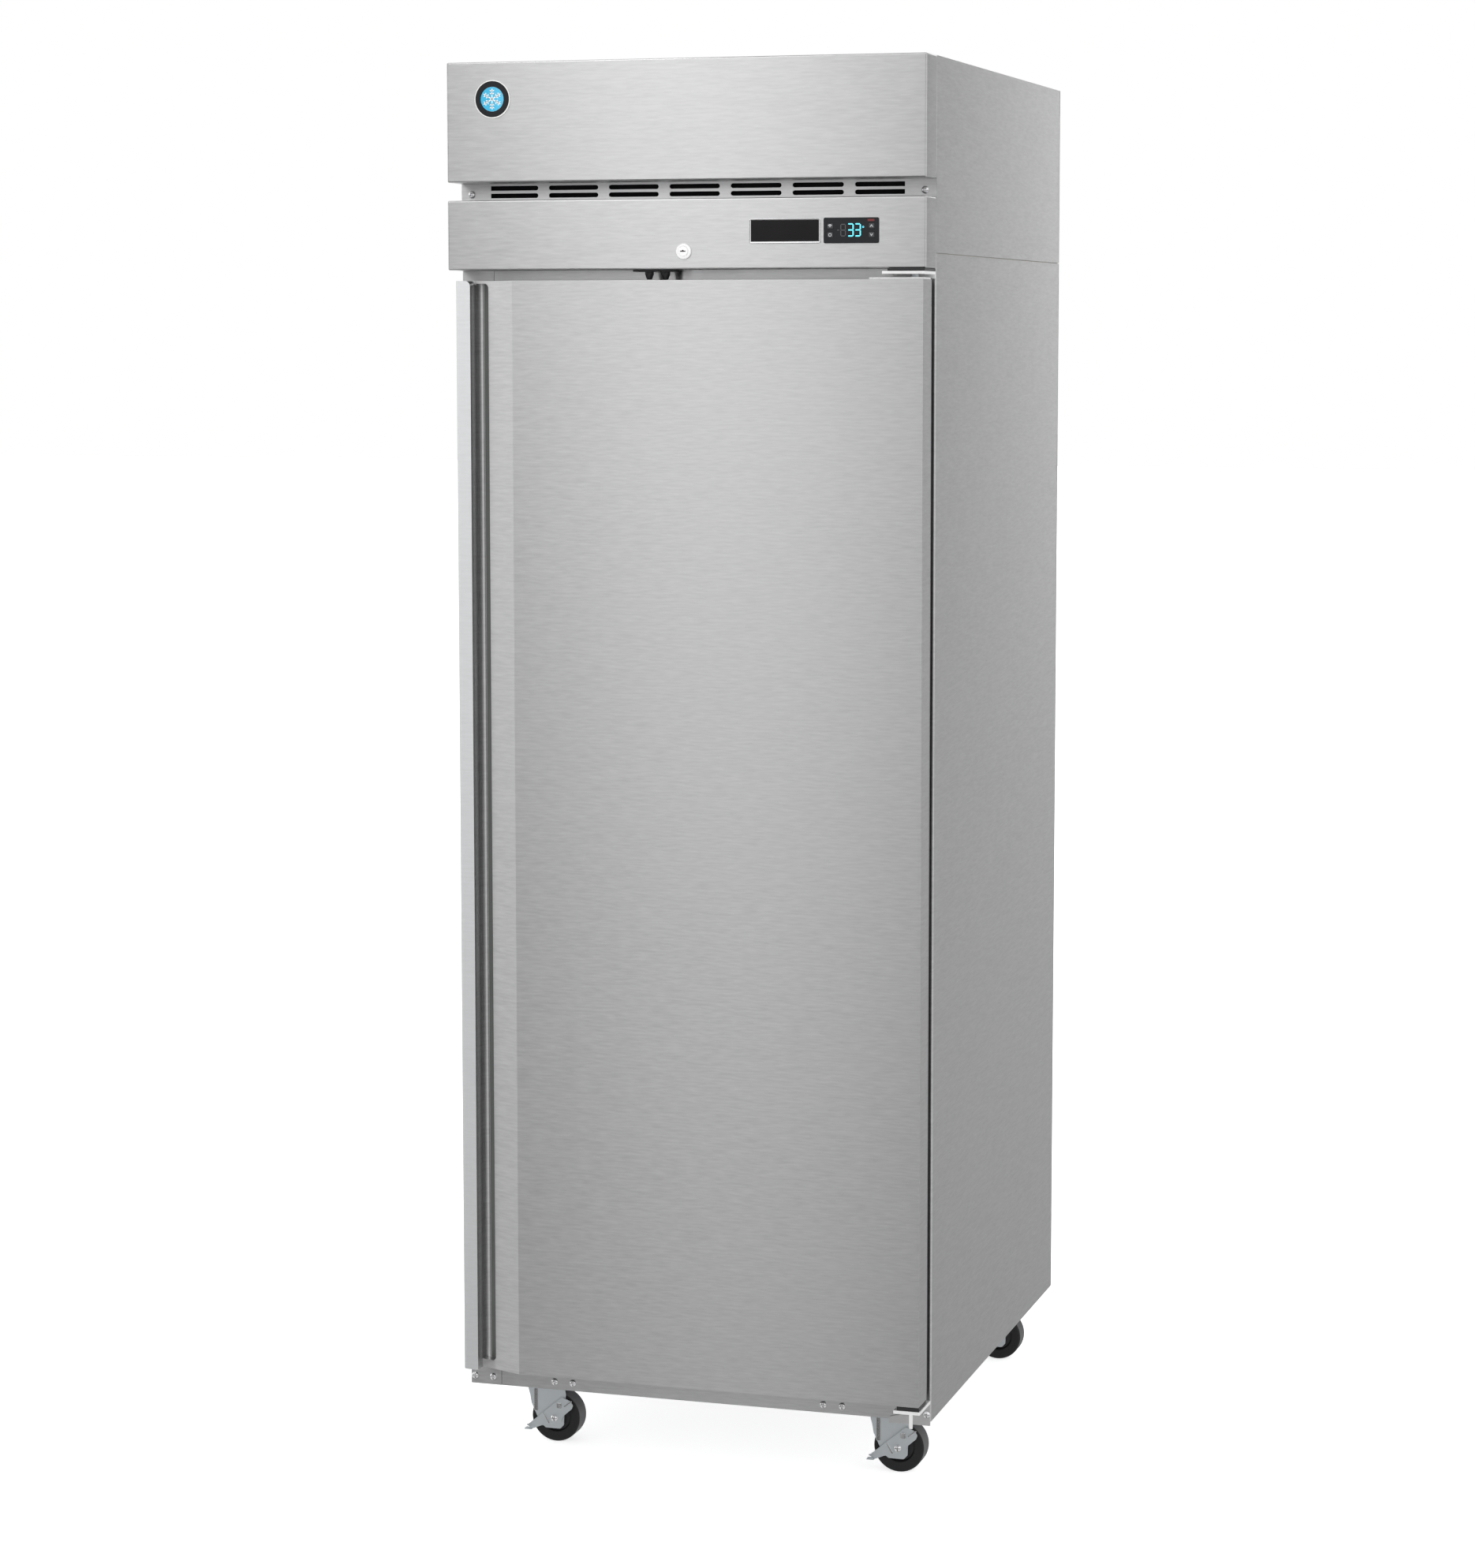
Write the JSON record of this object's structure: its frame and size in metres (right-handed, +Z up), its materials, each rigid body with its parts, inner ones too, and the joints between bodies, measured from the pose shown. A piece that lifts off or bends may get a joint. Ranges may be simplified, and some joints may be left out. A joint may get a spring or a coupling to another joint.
{
  "type": "reach in refrigerator",
  "caption": "Single-door stainless steel reach-in refrigerator on casters, with a full-height grip door, wire shelves and a top-mounted cooling unit.",
  "frame": {"origin": "on the floor, at the centre of the whole object's box", "axes": "+Z up, -Y towards the person at the door, +X to that person's right"},
  "size_m": [0.6984, 0.8684, 2.0195],
  "materials": {
    "stainless": "brushed across, satin",
    "galvanised": "spangled zinc, satin",
    "grey_plastic": "satin",
    "foam": "matte rigid foam",
    "liner_metal": "stucco, satin",
    "white_wire": "smooth coating",
    "lamp_plastic": "frosted",
    "coil_aluminium": "bare",
    "motor_metal": "satin",
    "black_enamel": "gloss",
    "copper": "drawn, slightly dull",
    "white_plastic": "matte",
    "bright_trim": "polished",
    "gloss_black": "gloss",
    "black_plastic": "satin",
    "hinge_steel": "bright, satin",
    "zinc_steel": "blue zinc plate",
    "gasket_rubber": "soft matte",
    "tyre_rubber": "matte",
    "button_plastic": "satin",
    "fan_plastic": "satin"
  },
  "bodies": {
    "cabinet": {"side_panels": "stainless", "upper_side_panels": "stainless", "back_panels": "galvanised", "base_pan": "galvanised", "front_rails": "stainless", "breaker_frame": "grey_plastic", "insulation": "foam", "liner": "liner_metal", "shelf_supports": "liner_metal", "shelf_lower": "white_wire", "shelf_middle": "white_wire", "shelf_upper": "white_wire", "interior_lamp": "lamp_plastic", "evaporator_housing": "liner_metal", "evaporator_coil": "coil_aluminium", "evaporator_fan_motor": "motor_metal", "machine_deck": "galvanised", "compressor": "black_enamel", "condenser_coil": "coil_aluminium", "condenser_shroud": "galvanised", "condenser_fan_motor": "motor_metal", "refrigerant_lines": "copper", "condensate_pan": "white_plastic", "upper_front_panel": "stainless", "vent_panel": "stainless", "lower_front_panel": "stainless", "badges": "bright_trim", "display_housing": "gloss_black", "lock_housing": "bright_trim", "switch_housing": "black_plastic", "hinge_brackets": "hinge_steel", "cabinet_screws": "bright_trim", "cord_gland": "black_plastic", "caster_plates": "zinc_steel"},
    "door": {"door_shell": "stainless", "door_insulation": "foam", "door_frame": "black_plastic", "door_inner_panel": "liner_metal", "door_gasket": "gasket_rubber", "door_hinge_fittings": "hinge_steel"},
    "fork_front_left": {"caster_fork_front_left": "zinc_steel"},
    "wheel_front_left": {"caster_wheel_front_left": "tyre_rubber"},
    "fork_front_right": {"caster_fork_front_right": "zinc_steel"},
    "wheel_front_right": {"caster_wheel_front_right": "tyre_rubber"},
    "fork_rear_left": {"caster_fork_rear_left": "zinc_steel"},
    "wheel_rear_left": {"caster_wheel_rear_left": "tyre_rubber"},
    "fork_rear_right": {"caster_fork_rear_right": "zinc_steel"},
    "wheel_rear_right": {"caster_wheel_rear_right": "tyre_rubber"},
    "brake_left": {"brake_lever_left": "zinc_steel"},
    "brake_right": {"brake_lever_right": "zinc_steel"},
    "button_light_body": {"button_light": "button_plastic"},
    "button_defrost_body": {"button_defrost": "button_plastic"},
    "button_up_body": {"button_up": "button_plastic"},
    "button_down_body": {"button_down": "button_plastic"},
    "lock_cylinder_body": {"lock_cylinder": "bright_trim"},
    "lock_bolt_body": {"lock_bolt": "zinc_steel"},
    "plunger_left_body": {"plunger_left": "black_plastic"},
    "plunger_right_body": {"plunger_right": "black_plastic"},
    "evaporator_fan_body": {"evaporator_fan": "fan_plastic"},
    "condenser_fan_body": {"condenser_fan": "fan_plastic"}
  },
  "joints": [
    {"name": "door_hinge", "type": "hinge", "parent": "cabinet", "child": "door", "pos_m": [0.33, -0.40925, 0.93], "axis": [0, 0, 1], "range_deg": [0, 120], "stiffness_Nm_per_rad": 1, "springref_deg": -17.19},
    {"name": "swivel_front_left", "type": "hinge", "parent": "cabinet", "child": "fork_front_left", "pos_m": [-0.26325, -0.28125, 0.09], "axis": [0, 0, 1], "continuous": true},
    {"name": "roll_front_left", "type": "hinge", "parent": "fork_front_left", "child": "wheel_front_left", "pos_m": [-0.24225, -0.28125, 0.0375], "axis": [0, 1, 0], "continuous": true},
    {"name": "swivel_front_right", "type": "hinge", "parent": "cabinet", "child": "fork_front_right", "pos_m": [0.26325, -0.28125, 0.09], "axis": [0, 0, 1], "continuous": true},
    {"name": "roll_front_right", "type": "hinge", "parent": "fork_front_right", "child": "wheel_front_right", "pos_m": [0.28425, -0.28125, 0.0375], "axis": [0, 1, 0], "continuous": true},
    {"name": "swivel_rear_left", "type": "hinge", "parent": "cabinet", "child": "fork_rear_left", "pos_m": [-0.26325, 0.34525, 0.09], "axis": [0, 0, 1], "continuous": true},
    {"name": "roll_rear_left", "type": "hinge", "parent": "fork_rear_left", "child": "wheel_rear_left", "pos_m": [-0.24225, 0.34525, 0.0375], "axis": [0, 1, 0], "continuous": true},
    {"name": "swivel_rear_right", "type": "hinge", "parent": "cabinet", "child": "fork_rear_right", "pos_m": [0.26325, 0.34525, 0.09], "axis": [0, 0, 1], "continuous": true},
    {"name": "roll_rear_right", "type": "hinge", "parent": "fork_rear_right", "child": "wheel_rear_right", "pos_m": [0.28425, 0.34525, 0.0375], "axis": [0, 1, 0], "continuous": true},
    {"name": "brake_press_left", "type": "hinge", "parent": "fork_front_left", "child": "brake_left", "pos_m": [-0.24225, -0.30125, 0.0375], "axis": [0, 1, 0], "range_deg": [0, 15]},
    {"name": "brake_press_right", "type": "hinge", "parent": "fork_front_right", "child": "brake_right", "pos_m": [0.28425, -0.30125, 0.0375], "axis": [0, 1, 0], "range_deg": [0, 15]},
    {"name": "button_light_press", "type": "slide", "parent": "cabinet", "child": "button_light_body", "axis": [0, 1, 0], "range_m": [0, 0.0008], "stiffness_N_per_m": 800},
    {"name": "button_defrost_press", "type": "slide", "parent": "cabinet", "child": "button_defrost_body", "axis": [0, 1, 0], "range_m": [0, 0.0008], "stiffness_N_per_m": 800},
    {"name": "button_up_press", "type": "slide", "parent": "cabinet", "child": "button_up_body", "axis": [0, 1, 0], "range_m": [0, 0.0008], "stiffness_N_per_m": 800},
    {"name": "button_down_press", "type": "slide", "parent": "cabinet", "child": "button_down_body", "axis": [0, 1, 0], "range_m": [0, 0.0008], "stiffness_N_per_m": 800},
    {"name": "lock_turn", "type": "hinge", "parent": "cabinet", "child": "lock_cylinder_body", "pos_m": [0.002, -0.41725, 1.7534], "axis": [0, -1, 0], "range_deg": [0, 90]},
    {"name": "lock_bolt_slide", "type": "slide", "parent": "cabinet", "child": "lock_bolt_body", "axis": [0, 0, -1], "range_m": [0, 0.0259]},
    {"name": "plunger_left_press", "type": "slide", "parent": "cabinet", "child": "plunger_left_body", "axis": [0, 0, 1], "range_m": [0, 0.004], "stiffness_N_per_m": 300},
    {"name": "plunger_right_press", "type": "slide", "parent": "cabinet", "child": "plunger_right_body", "axis": [0, 0, 1], "range_m": [0, 0.004], "stiffness_N_per_m": 300},
    {"name": "evaporator_fan_spin", "type": "hinge", "parent": "cabinet", "child": "evaporator_fan_body", "pos_m": [0, -0.03225, 1.59], "axis": [0, 0, 1], "continuous": true},
    {"name": "condenser_fan_spin", "type": "hinge", "parent": "cabinet", "child": "condenser_fan_body", "pos_m": [-0.04, -0.19725, 1.87], "axis": [0, 1, 0], "continuous": true}
  ],
  "couplings": [
    {"joint": "lock_turn", "follows": "lock_bolt_slide", "rad_per_m": 60.6}
  ]
}
